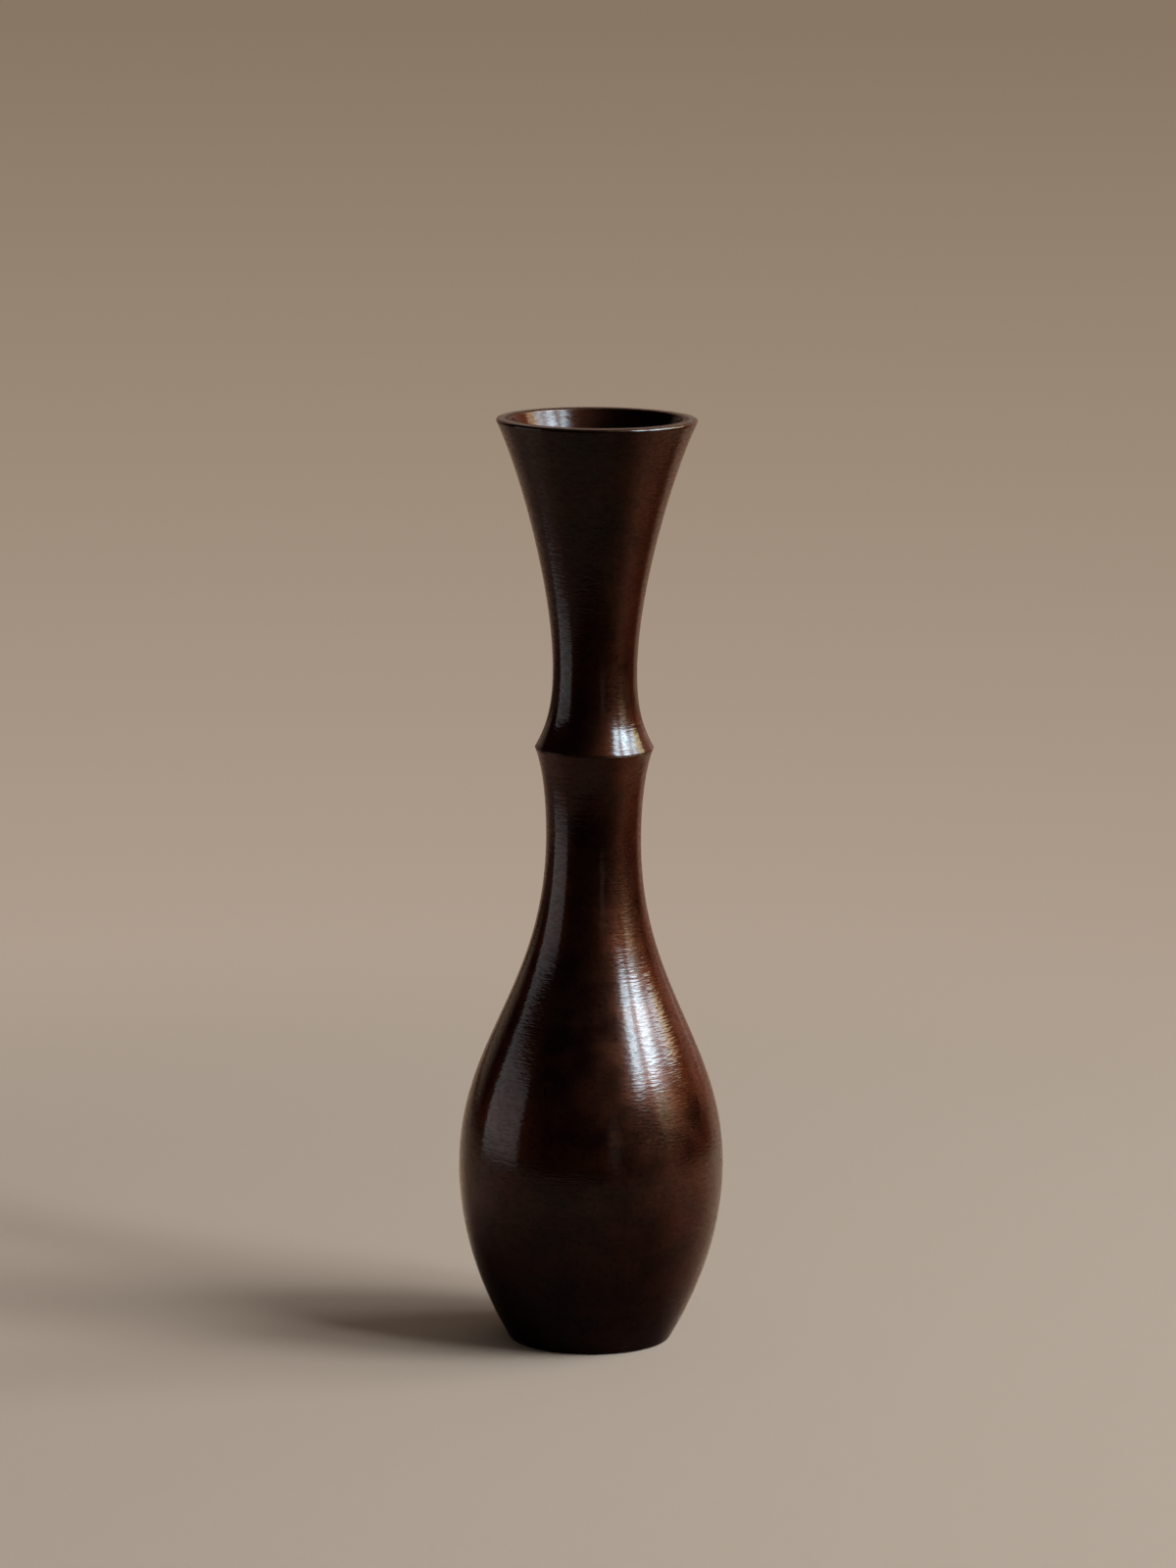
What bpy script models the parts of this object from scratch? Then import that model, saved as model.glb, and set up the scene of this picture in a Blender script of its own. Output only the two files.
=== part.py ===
"""Turned bronze bud vase, built as it is made: two castings and a base plate, brazed together.

The bulb with the lower neck is one casting and the flared upper neck is the other. Both are turned
on a lathe, and the upper neck's spigot drops into a socket in the lower one, so that the seam lies
just under the sharp ring. The bulb's core left through the foot, and a plate let into the foot
closes it. A ring of brazing metal holds each joint and keeps it watertight.

Metres, +Z up. The origin is the middle of the foot, on the surface that the vase stands on.
"""

import math

import bmesh
import bpy
from mathutils import Vector
from mathutils.geometry import interpolate_bezier

MM = 0.001

# Heights of the two castings: from the standing surface to the seam, and from there to the lip
BODY_HEIGHT = 161.55 * MM
NECK_HEIGHT = 88.45 * MM

# Foot: the flat ring that it stands on, its rounded outer edge and the wall that leans out above
FOOT_RADIUS = 20.9 * MM
FOOT_RING_WIDTH = 4.2 * MM
FOOT_EDGE = 1.35 * MM
FOOT_LEAN = math.radians(30.3)
FOOT_REACH = 13.0 * MM

# Belly, the widest place, and how gently the outline bends there
BELLY_RADIUS = 35.65 * MM
BELLY_HEIGHT = 47.6 * MM
BELLY_BEND = 77.3 * MM

# Waist of the lower neck, measured down from the seam
LOWER_WAIST_RADIUS = 12.75 * MM
LOWER_WAIST_DROP = 24.1 * MM
LOWER_WAIST_BEND = 115.0 * MM

# Ring: the upper neck's sharp lower edge, and the collar of the lower neck that it sits on
RING_RADIUS = 15.9 * MM
RING_EDGE = 0.35 * MM
RING_LEAN = math.radians(27.8)
RING_REACH = 3.9 * MM
COLLAR_SETBACK = 0.13 * MM
COLLAR_EDGE = 0.3 * MM
COLLAR_LEAN = math.radians(21.0)
COLLAR_REACH = 6.7 * MM

# Waist of the upper neck, measured up from the seam
UPPER_WAIST_RADIUS = 11.3 * MM
UPPER_WAIST_RISE = 20.65 * MM
UPPER_WAIST_BEND = 79.0 * MM

# Mouth: its flat lip with a rounded outer edge
MOUTH_RADIUS = 26.75 * MM
LIP_EDGE = 0.65 * MM
MOUTH_LEAN = math.radians(25.3)
MOUTH_REACH = 14.55 * MM

# Walls of the castings
BODY_WALL = 3.6 * MM
UPPER_WAIST_WALL = 3.2 * MM
LIP_WALL = 3.9 * MM

# Joint at the ring: spigot, and the brazing metal in a step cut round the socket's mouth
SPIGOT_WALL = 2.4 * MM
SPIGOT_LENGTH = 7.0 * MM
SPIGOT_CHAMFER = 0.6 * MM
NECK_BRAZE_WIDTH = 1.0 * MM
NECK_BRAZE_DEPTH = 1.4 * MM

# Joint at the foot: plate, the ledge that it seats on, and the brazing metal round its edge
PLATE_RECESS = 1.0 * MM
PLATE_THICKNESS = 3.0 * MM
LEDGE_WIDTH = 3.7 * MM
LEDGE_THICKNESS = 3.0 * MM
BASE_BRAZE_WIDTH = 1.2 * MM
BASE_BRAZE_DEPTH = 1.2 * MM
BASE_BRAZE_HOLLOW = 0.25 * MM

# Gap left between neighbouring pieces
CLEARANCE = 0.3 * MM

# Fineness: sides of every turned piece, and steps along an edge, a short span and a long one
SIDES = 48
EDGE_STEPS = 3
SHORT_STEPS = 6
LONG_STEPS = 12
MERGE = 0.005 * MM
SHARP_ANGLE = math.radians(35)

SPIGOT_BORE = UPPER_WAIST_RADIUS - UPPER_WAIST_WALL
SPIGOT_RADIUS = SPIGOT_BORE + SPIGOT_WALL
SOCKET_RADIUS = SPIGOT_RADIUS + CLEARANCE
COLLAR_RADIUS = RING_RADIUS - COLLAR_SETBACK
COLLAR_TOP = BODY_HEIGHT - CLEARANCE
SOCKET_FLOOR = BODY_HEIGHT - SPIGOT_LENGTH - CLEARANCE
REBATE_RADIUS = FOOT_RADIUS - FOOT_RING_WIDTH
REBATE_ROOF = PLATE_RECESS + PLATE_THICKNESS + CLEARANCE
PLATE_RADIUS = REBATE_RADIUS - CLEARANCE
CORE_HOLE_RADIUS = REBATE_RADIUS - LEDGE_WIDTH
BULB_FLOOR = REBATE_ROOF + LEDGE_THICKNESS


# Outlines: lists of (radius, height) points

def point(radius, height):
    return Vector((radius, height))


def edge_arc(centre, radius, start, end):
    """A rounded edge, from one angle to another. Angle 0 looks outwards and a quarter turn looks up."""
    step = (end - start) / EDGE_STEPS
    angles = [start + step * i for i in range(EDGE_STEPS + 1)]
    return [centre + radius * point(math.cos(angle), math.sin(angle)) for angle in angles]


def pull_from_edge(edge, lean, reach, extreme):
    """The point that the outline heads for as it leaves an edge at this lean from upright."""
    across = math.copysign(math.sin(lean), extreme.x - edge.x)
    along = math.copysign(math.cos(lean), extreme.y - edge.y)
    return edge + reach * point(across, along)


def pull_from_extreme(extreme, bend, target):
    """The point that the outline heads for as it leaves its widest or narrowest place, straight up or
    down. Its distance gives the curve this radius of bend there, whichever side it is drawn from."""
    distance = math.sqrt(2 / 3 * bend * abs(target.x - extreme.x))
    return extreme + point(0, math.copysign(distance, target.y - extreme.y))


def span(start, start_pull, end_pull, end, steps):
    return interpolate_bezier(start, start_pull, end_pull, end, steps + 1)


def edge_to_extreme(edge, lean, reach, extreme, bend, steps):
    """The span from an edge to a widest or narrowest place."""
    edge_pull = pull_from_edge(edge, lean, reach, extreme)
    return span(edge, edge_pull, pull_from_extreme(extreme, bend, edge_pull), extreme, steps)


def joined(*lines):
    """The lines as one, with each point that two of them share kept once."""
    points = []
    for place in (place for line in lines for place in line):
        if not points or (place - points[-1]).length > MERGE:
            points.append(place)
    return points


def inset(line, start_wall, end_wall):
    """A rising line moved inwards by the wall, which changes evenly along it."""
    last = len(line) - 1
    moved = []
    for i, place in enumerate(line):
        along = line[min(i + 1, last)] - line[max(i - 1, 0)]
        inwards = point(-along.y, along.x).normalized()
        moved.append(place + inwards * (start_wall + (end_wall - start_wall) * i / last))
    return moved


def radius_at(line, height):
    """The radius of a rising line at a height, or at its nearer end beyond it."""
    for below, above in zip(line, line[1:]):
        if height <= above.y:
            share = max(0, (height - below.y) / (above.y - below.y))
            return below.x + share * (above.x - below.x)
    return line[-1].x


def between(line, low, high):
    """The part of a rising line between two heights."""
    inner = [place for place in line if low + MERGE < place.y < high - MERGE]
    return [point(radius_at(line, low), low), *inner, point(radius_at(line, high), high)]


def body_side():
    """The outside of the bulb and the lower neck, from the foot's edge up to the collar's."""
    foot = edge_arc(point(FOOT_RADIUS, FOOT_EDGE), FOOT_EDGE, -math.pi / 2, -FOOT_LEAN)
    belly = point(BELLY_RADIUS, BELLY_HEIGHT)
    waist = point(LOWER_WAIST_RADIUS, BODY_HEIGHT - LOWER_WAIST_DROP)
    collar_centre = point(COLLAR_RADIUS - COLLAR_EDGE, COLLAR_TOP - COLLAR_EDGE)
    collar = edge_arc(collar_centre, COLLAR_EDGE, -COLLAR_LEAN, math.pi / 2)

    bulb = edge_to_extreme(foot[-1], FOOT_LEAN, FOOT_REACH, belly, BELLY_BEND, LONG_STEPS)
    belly_pull = pull_from_extreme(belly, BELLY_BEND, waist)
    waist_pull = pull_from_extreme(waist, LOWER_WAIST_BEND, belly)
    shoulder = span(belly, belly_pull, waist_pull, waist, LONG_STEPS)
    flare = edge_to_extreme(collar[0], COLLAR_LEAN, COLLAR_REACH, waist, LOWER_WAIST_BEND, SHORT_STEPS)
    return foot, joined(bulb, shoulder, reversed(flare)), collar


def neck_side():
    """The outside of the upper neck, from the ring's edge up to the lip's. Heights are from the seam."""
    ring = edge_arc(point(RING_RADIUS - RING_EDGE, RING_EDGE), RING_EDGE, -math.pi / 2, RING_LEAN)
    waist = point(UPPER_WAIST_RADIUS, UPPER_WAIST_RISE)
    lip_centre = point(MOUTH_RADIUS - LIP_EDGE, NECK_HEIGHT - LIP_EDGE)
    lip = edge_arc(lip_centre, LIP_EDGE, -MOUTH_LEAN, math.pi / 2)

    cone = edge_to_extreme(ring[-1], RING_LEAN, RING_REACH, waist, UPPER_WAIST_BEND, SHORT_STEPS)
    flare = edge_to_extreme(lip[0], MOUTH_LEAN, MOUTH_REACH, waist, UPPER_WAIST_BEND, LONG_STEPS)
    return joined(ring, cone), flare[::-1], lip


def body_outline():
    foot, side, collar = body_side()
    wall = inset(side, BODY_WALL, BODY_WALL)
    groove_radius = SOCKET_RADIUS + NECK_BRAZE_WIDTH + CLEARANCE
    groove_floor = COLLAR_TOP - NECK_BRAZE_DEPTH - CLEARANCE
    socket = [
        point(groove_radius, COLLAR_TOP),
        point(groove_radius, groove_floor),
        point(SOCKET_RADIUS, groove_floor),
        point(SOCKET_RADIUS, SOCKET_FLOOR),
    ]
    rebate = [
        point(CORE_HOLE_RADIUS, BULB_FLOOR),
        point(CORE_HOLE_RADIUS, REBATE_ROOF),
        point(REBATE_RADIUS, REBATE_ROOF),
        point(REBATE_RADIUS, 0),
    ]
    inside = reversed(between(wall, BULB_FLOOR, SOCKET_FLOOR))
    return joined(foot, side, collar, socket, inside, rebate)


def neck_outline():
    lower_side, flare, lip = neck_side()
    wall = inset(flare, UPPER_WAIST_WALL, LIP_WALL)
    inside = reversed(between(wall, UPPER_WAIST_RISE, NECK_HEIGHT))
    spigot = [
        point(SPIGOT_BORE, -SPIGOT_LENGTH),
        point(SPIGOT_RADIUS - SPIGOT_CHAMFER, -SPIGOT_LENGTH),
        point(SPIGOT_RADIUS, SPIGOT_CHAMFER - SPIGOT_LENGTH),
        point(SPIGOT_RADIUS, 0),
    ]
    return joined(lower_side, flare, lip, inside, spigot)


def plate_outline():
    """The base plate, whose lower edge is stepped for the brazing metal. Heights are from its underside."""
    step_radius = PLATE_RADIUS - BASE_BRAZE_WIDTH - CLEARANCE
    step_height = BASE_BRAZE_DEPTH + CLEARANCE
    return [
        point(0, 0),
        point(step_radius, 0),
        point(step_radius, step_height),
        point(PLATE_RADIUS, step_height),
        point(PLATE_RADIUS, PLATE_THICKNESS),
        point(0, PLATE_THICKNESS),
    ]


def base_braze_outline():
    """The brazing metal under the plate's edge, drawn slightly hollow as it set."""
    inner = PLATE_RADIUS - BASE_BRAZE_WIDTH
    return [
        point(inner, 0),
        point((inner + PLATE_RADIUS) / 2, BASE_BRAZE_HOLLOW),
        point(PLATE_RADIUS, 0),
        point(PLATE_RADIUS, BASE_BRAZE_DEPTH),
        point(inner, BASE_BRAZE_DEPTH),
    ]


def neck_braze_outline():
    """The brazing metal round the root of the spigot. Heights are from its underside."""
    outer = SOCKET_RADIUS + NECK_BRAZE_WIDTH
    return [
        point(SOCKET_RADIUS, 0),
        point(outer, 0),
        point(outer, NECK_BRAZE_DEPTH),
        point(SOCKET_RADIUS, NECK_BRAZE_DEPTH),
    ]


# Objects and materials

def clear_scene():
    for obj in list(bpy.context.scene.objects):
        bpy.data.objects.remove(obj)


def metal(name, colour, roughness):
    material = bpy.data.materials.new(name)
    material.use_nodes = True
    shader = material.node_tree.nodes["Principled BSDF"]
    shader.inputs["Base Color"].default_value = (*colour, 1)
    shader.inputs["Metallic"].default_value = 1
    shader.inputs["Roughness"].default_value = roughness
    material.diffuse_color = (*colour, 1)
    material.metallic = 1
    material.roughness = roughness
    return material


def turn(name, outline, height, material):
    """Spins an outline once round the Z axis and stands the solid at a height. An outline that starts
    and ends on the axis closes there."""
    shape = bmesh.new()
    places = [shape.verts.new((place.x, 0, place.y)) for place in outline]
    lines = [
        shape.edges.new((start, end))
        for start, end in zip(places, places[1:] + places[:1])
        if max(start.co.x, end.co.x) > 0
    ]
    axis = {"cent": (0, 0, 0), "axis": (0, 0, 1)}
    bmesh.ops.spin(shape, geom=places + lines, angle=math.tau, steps=SIDES, **axis)
    bmesh.ops.remove_doubles(shape, verts=shape.verts, dist=MERGE)
    bmesh.ops.recalc_face_normals(shape, faces=shape.faces)

    mesh = bpy.data.meshes.new(name)
    shape.to_mesh(mesh)
    shape.free()
    mesh.materials.append(material)
    mesh.shade_smooth()
    mesh.set_sharp_from_angle(angle=SHARP_ANGLE)
    obj = bpy.data.objects.new(name, mesh)
    obj.location.z = height
    bpy.context.scene.collection.objects.link(obj)
    return obj


def build():
    clear_scene()
    patina = metal("body_patina", (0.060, 0.022, 0.012), 0.28)
    neck_patina = metal("neck_patina", (0.064, 0.024, 0.013), 0.28)
    plate_bronze = metal("plate_bronze", (0.12, 0.060, 0.030), 0.45)
    neck_braze = metal("neck_braze", (0.58, 0.40, 0.17), 0.4)
    base_braze = metal("base_braze", (0.50, 0.34, 0.15), 0.4)

    neck_braze_floor = COLLAR_TOP - NECK_BRAZE_DEPTH
    turn("body_shell", body_outline(), 0, patina)
    turn("neck_shell", neck_outline(), BODY_HEIGHT, neck_patina)
    turn("neck_braze_ring", neck_braze_outline(), neck_braze_floor, neck_braze)
    turn("base_plate", plate_outline(), PLATE_RECESS, plate_bronze)
    turn("base_braze_ring", base_braze_outline(), PLATE_RECESS, base_braze)


build()
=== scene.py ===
"""Looks of the turned bronze bud vase: finely turned surfaces and a dark red-brown patina, in window light.

Every turned piece keeps the outline and the sizes of its solid, drawn with finer steps, and adds what
the lathe and years of use left: faint waves, rounded corners, turning lines and worn edges.
"""

import math

import bpy
import numpy as np
from mathutils import Matrix, Vector, noise
from mathutils.geometry import interpolate_bezier

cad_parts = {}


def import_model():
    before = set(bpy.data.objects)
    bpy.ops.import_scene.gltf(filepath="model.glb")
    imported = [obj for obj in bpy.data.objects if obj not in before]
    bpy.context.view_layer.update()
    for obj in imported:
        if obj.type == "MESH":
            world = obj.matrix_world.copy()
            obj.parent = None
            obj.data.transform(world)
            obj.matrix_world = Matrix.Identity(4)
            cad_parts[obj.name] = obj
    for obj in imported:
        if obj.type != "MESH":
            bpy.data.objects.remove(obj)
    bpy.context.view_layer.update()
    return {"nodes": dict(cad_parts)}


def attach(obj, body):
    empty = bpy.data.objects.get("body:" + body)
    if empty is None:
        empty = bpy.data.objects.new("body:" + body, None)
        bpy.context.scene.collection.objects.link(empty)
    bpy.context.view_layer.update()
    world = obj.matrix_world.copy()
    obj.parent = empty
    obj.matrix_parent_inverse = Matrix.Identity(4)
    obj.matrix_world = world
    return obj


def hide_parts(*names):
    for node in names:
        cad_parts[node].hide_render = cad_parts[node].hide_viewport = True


MM = 0.001
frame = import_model()

# Heights of the two castings: from the standing surface to the seam, and from there to the lip
BODY_HEIGHT = 161.55 * MM
NECK_HEIGHT = 88.45 * MM

# Foot: the flat ring that it stands on, its rounded outer edge and the wall that leans out above
FOOT_RADIUS = 20.9 * MM
FOOT_RING_WIDTH = 4.2 * MM
FOOT_EDGE = 1.35 * MM
FOOT_LEAN = math.radians(30.3)
FOOT_REACH = 13.0 * MM

# Belly, the widest place, and how gently the outline bends there
BELLY_RADIUS = 35.65 * MM
BELLY_HEIGHT = 47.6 * MM
BELLY_BEND = 77.3 * MM

# Waist of the lower neck, measured down from the seam
LOWER_WAIST_RADIUS = 12.75 * MM
LOWER_WAIST_DROP = 24.1 * MM
LOWER_WAIST_BEND = 115.0 * MM

# Ring: the upper neck's sharp lower edge, and the collar of the lower neck that it sits on
RING_RADIUS = 15.9 * MM
RING_EDGE = 0.2 * MM
RING_LEAN = math.radians(27.8)
RING_REACH = 3.9 * MM
COLLAR_SETBACK = 0.13 * MM
COLLAR_EDGE = 0.12 * MM
COLLAR_LEAN = math.radians(21.0)
COLLAR_REACH = 6.7 * MM

# Waist of the upper neck, measured up from the seam
UPPER_WAIST_RADIUS = 11.3 * MM
UPPER_WAIST_RISE = 20.65 * MM
UPPER_WAIST_BEND = 79.0 * MM

# Mouth: its flat lip with a rounded outer edge
MOUTH_RADIUS = 26.75 * MM
LIP_EDGE = 0.65 * MM
MOUTH_LEAN = math.radians(25.3)
MOUTH_REACH = 14.55 * MM

# Walls, and the joints at the ring and at the foot
BODY_WALL = 3.6 * MM
UPPER_WAIST_WALL = 3.2 * MM
LIP_WALL = 3.9 * MM
SPIGOT_WALL = 2.4 * MM
SPIGOT_LENGTH = 7.0 * MM
SPIGOT_CHAMFER = 0.6 * MM
NECK_BRAZE_WIDTH = 1.0 * MM
NECK_BRAZE_DEPTH = 1.4 * MM
PLATE_RECESS = 1.0 * MM
PLATE_THICKNESS = 3.0 * MM
LEDGE_WIDTH = 3.7 * MM
LEDGE_THICKNESS = 3.0 * MM
BASE_BRAZE_WIDTH = 1.2 * MM
BASE_BRAZE_DEPTH = 1.2 * MM
CLEARANCE = 0.3 * MM
SEAM_GAP = 0.05 * MM

# Underside of the base plate: the lathe's centre hole, and the shallow grooves of facing it
CENTRE_HOLE_DEPTH = 1.3 * MM
CENTRE_HOLE_CHAMFER = 0.15 * MM
CENTRE_HOLE_RADIUS = 1.1 * MM
CENTRE_HOLE_RIM = 1.5 * MM
GROOVES_START = 2.0 * MM
GROOVES_MARGIN = 0.3 * MM
GROOVE_WIDTH = 1.9 * MM
GROOVE_DEPTH = 0.03 * MM
GROOVE_STEP = 0.25 * MM

# Brazing metal under the plate's edge: its gaps to the metal beside it, and its hollow face
BASE_BRAZE_INNER_GAP = 0.06 * MM
BASE_BRAZE_OUTER_GAP = 0.05 * MM
BASE_BRAZE_HOLLOW = 0.3 * MM
BASE_BRAZE_STEPS = 8

# Fineness: sides of every turned piece, the length of a step along its outline, how many such steps the
# bulb's inside takes as one, and the steps of a rounded edge
SIDES = 192
STEP = 0.8 * MM
INSIDE_STEPS = 3
EDGE_STEPS = 6
MERGE = 0.005 * MM
SHARP_ANGLE = math.radians(50)

# Inner edges of the foot ring and the lip, which are square on the solids: how far they are cut back, and
# how full their rounding is
CORNER = 0.3 * MM
CORNER_PULL = 0.55

# Waves that the lathe and the polishing left, all of them inwards
TURNING_WAVES = ((7.1 * MM, 0.006 * MM), (3.7 * MM, 0.004 * MM))
HAND_WAVE = 16.0 * MM
HAND_WAVE_DEPTH = 0.03 * MM

SPIGOT_BORE = UPPER_WAIST_RADIUS - UPPER_WAIST_WALL
SPIGOT_RADIUS = SPIGOT_BORE + SPIGOT_WALL
SOCKET_RADIUS = SPIGOT_RADIUS + CLEARANCE
COLLAR_RADIUS = RING_RADIUS - COLLAR_SETBACK
COLLAR_TOP = BODY_HEIGHT - SEAM_GAP
SOCKET_FLOOR = BODY_HEIGHT - SPIGOT_LENGTH - CLEARANCE
REBATE_RADIUS = FOOT_RADIUS - FOOT_RING_WIDTH
REBATE_ROOF = PLATE_RECESS + PLATE_THICKNESS + CLEARANCE
PLATE_RADIUS = REBATE_RADIUS - CLEARANCE
PLATE_STEP_RADIUS = PLATE_RADIUS - BASE_BRAZE_WIDTH - CLEARANCE
CORE_HOLE_RADIUS = REBATE_RADIUS - LEDGE_WIDTH
BULB_FLOOR = REBATE_ROOF + LEDGE_THICKNESS


# Outlines: lists of (radius, height) points

def point(radius, height):
    return Vector((radius, height))


def edge_arc(centre, radius, start, end):
    """A rounded edge, from one angle to another. Angle 0 looks outwards and a quarter turn looks up."""
    angles = [start + (end - start) * i / EDGE_STEPS for i in range(EDGE_STEPS + 1)]
    return [centre + radius * point(math.cos(angle), math.sin(angle)) for angle in angles]


def pull_from_edge(edge, lean, reach, extreme):
    """The point that the outline heads for as it leaves an edge at this lean from upright."""
    across = math.copysign(math.sin(lean), extreme.x - edge.x)
    up = math.copysign(math.cos(lean), extreme.y - edge.y)
    return edge + reach * point(across, up)


def pull_from_extreme(extreme, bend, target):
    """The point that the outline heads for as it leaves its widest or narrowest place, straight up or
    down. Its distance gives the curve this radius of bend there, whichever side it is drawn from."""
    distance = math.sqrt(2 / 3 * bend * abs(target.x - extreme.x))
    return extreme + point(0, math.copysign(distance, target.y - extreme.y))


def span(start, start_pull, end_pull, end):
    steps = math.ceil((end - start).length / STEP)
    return interpolate_bezier(start, start_pull, end_pull, end, steps + 1)


def edge_to_extreme(edge, lean, reach, extreme, bend):
    """The span from an edge to a widest or narrowest place."""
    edge_pull = pull_from_edge(edge, lean, reach, extreme)
    return span(edge, edge_pull, pull_from_extreme(extreme, bend, edge_pull), extreme)


def joined(*lines):
    """The lines as one, with each point that two of them share kept once."""
    points = []
    for place in (place for line in lines for place in line):
        if not points or (place - points[-1]).length > MERGE:
            points.append(place)
    return points


def along(line, i):
    """The direction of a line at one of its points."""
    return (line[min(i + 1, len(line) - 1)] - line[max(i - 1, 0)]).normalized()


def inset(line, start_wall, end_wall):
    """A rising line moved inwards by the wall, which changes evenly along it."""
    walls = np.linspace(start_wall, end_wall, len(line))
    ways = [along(line, i) for i in range(len(line))]
    return [place + point(-way.y, way.x) * wall for place, way, wall in zip(line, ways, walls)]


def radius_at(line, height):
    """The radius of a rising line at a height, or at its nearer end beyond it."""
    return float(np.interp(height, [place.y for place in line], [place.x for place in line]))


def between(line, low, high):
    """The part of a rising line between two heights."""
    inner = [place for place in line if low + MERGE < place.y < high - MERGE]
    return [point(radius_at(line, low), low), *inner, point(radius_at(line, high), high)]


def turning_waves(line):
    """A line with the faint waves of the turning tool, drawn inwards."""
    way_along = 0
    moved = []
    for i, place in enumerate(line):
        way_along += (place - line[max(i - 1, 0)]).length
        depth = sum(size * (1 + math.sin(math.tau * way_along / length)) / 2
                    for length, size in TURNING_WAVES)
        way = along(line, i)
        moved.append(place + point(-way.y, way.x) * depth)
    return moved


def rounded(outline, place_index):
    """An outline with one of its corners rounded."""
    corner = outline[place_index]
    before = corner + (outline[place_index - 1] - corner).normalized() * CORNER
    after = corner + (outline[(place_index + 1) % len(outline)] - corner).normalized() * CORNER
    before_pull = before.lerp(corner, CORNER_PULL)
    after_pull = after.lerp(corner, CORNER_PULL)
    arc = interpolate_bezier(before, before_pull, after_pull, after, EDGE_STEPS)
    return outline[:place_index] + arc + outline[place_index + 1:]


def body_outline():
    foot = edge_arc(point(FOOT_RADIUS, FOOT_EDGE), FOOT_EDGE, -math.pi / 2, -FOOT_LEAN)
    belly = point(BELLY_RADIUS, BELLY_HEIGHT)
    waist = point(LOWER_WAIST_RADIUS, BODY_HEIGHT - LOWER_WAIST_DROP)
    collar_centre = point(COLLAR_RADIUS - COLLAR_EDGE, COLLAR_TOP - COLLAR_EDGE)
    collar = edge_arc(collar_centre, COLLAR_EDGE, -COLLAR_LEAN, math.pi / 2)

    bulb = edge_to_extreme(foot[-1], FOOT_LEAN, FOOT_REACH, belly, BELLY_BEND)
    belly_pull = pull_from_extreme(belly, BELLY_BEND, waist)
    waist_pull = pull_from_extreme(waist, LOWER_WAIST_BEND, belly)
    shoulder = span(belly, belly_pull, waist_pull, waist)
    flare = edge_to_extreme(collar[0], COLLAR_LEAN, COLLAR_REACH, waist, LOWER_WAIST_BEND)
    side = joined(bulb, shoulder, reversed(flare))

    wall = inset(side, BODY_WALL, BODY_WALL)
    groove_radius = SOCKET_RADIUS + NECK_BRAZE_WIDTH + CLEARANCE
    groove_floor = COLLAR_TOP - NECK_BRAZE_DEPTH - CLEARANCE
    socket = [
        point(groove_radius, COLLAR_TOP),
        point(groove_radius, groove_floor),
        point(SOCKET_RADIUS, groove_floor),
        point(SOCKET_RADIUS, SOCKET_FLOOR),
    ]
    rebate = [
        point(CORE_HOLE_RADIUS, BULB_FLOOR),
        point(CORE_HOLE_RADIUS, REBATE_ROOF),
        point(REBATE_RADIUS, REBATE_ROOF),
        point(REBATE_RADIUS, 0),
    ]
    inside = list(reversed(between(wall, BULB_FLOOR, SOCKET_FLOOR)))[::INSIDE_STEPS]
    outline = joined(foot, turning_waves(side), collar, socket, inside, rebate)
    return rounded(outline, len(outline) - 1)


def neck_outline():
    """Heights are from the seam."""
    ring = edge_arc(point(RING_RADIUS - RING_EDGE, RING_EDGE), RING_EDGE, -math.pi / 2, RING_LEAN)
    waist = point(UPPER_WAIST_RADIUS, UPPER_WAIST_RISE)
    lip_centre = point(MOUTH_RADIUS - LIP_EDGE, NECK_HEIGHT - LIP_EDGE)
    lip = edge_arc(lip_centre, LIP_EDGE, -MOUTH_LEAN, math.pi / 2)
    cone = edge_to_extreme(ring[-1], RING_LEAN, RING_REACH, waist, UPPER_WAIST_BEND)
    flare = edge_to_extreme(lip[0], MOUTH_LEAN, MOUTH_REACH, waist, UPPER_WAIST_BEND)[::-1]

    wall = inset(flare, UPPER_WAIST_WALL, LIP_WALL)
    inside = list(reversed(between(wall, UPPER_WAIST_RISE, NECK_HEIGHT)))
    spigot = [
        point(SPIGOT_BORE, -SPIGOT_LENGTH),
        point(SPIGOT_RADIUS - SPIGOT_CHAMFER, -SPIGOT_LENGTH),
        point(SPIGOT_RADIUS, SPIGOT_CHAMFER - SPIGOT_LENGTH),
        point(SPIGOT_RADIUS, 0),
    ]
    outside = joined(ring, turning_waves(joined(cone, flare)), lip)
    return rounded(joined(outside, inside, spigot), len(outside))


def plate_outline():
    """The base plate, turned flat with the lathe's small centre hole. Heights are from its underside."""
    centre_hole = [
        point(0, CENTRE_HOLE_DEPTH),
        point(CENTRE_HOLE_RADIUS, CENTRE_HOLE_CHAMFER),
        point(CENTRE_HOLE_RIM, 0),
    ]
    face = [point(radius, GROOVE_DEPTH * math.sin(math.tau * radius / GROOVE_WIDTH) ** 2)
            for radius in np.arange(GROOVES_START, PLATE_STEP_RADIUS - GROOVES_MARGIN, GROOVE_STEP)]
    step_height = BASE_BRAZE_DEPTH + CLEARANCE
    edge = [
        point(PLATE_STEP_RADIUS, 0),
        point(PLATE_STEP_RADIUS, step_height),
        point(PLATE_RADIUS, step_height),
        point(PLATE_RADIUS, PLATE_THICKNESS),
        point(0, PLATE_THICKNESS),
    ]
    return joined(centre_hole, face, edge)


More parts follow.
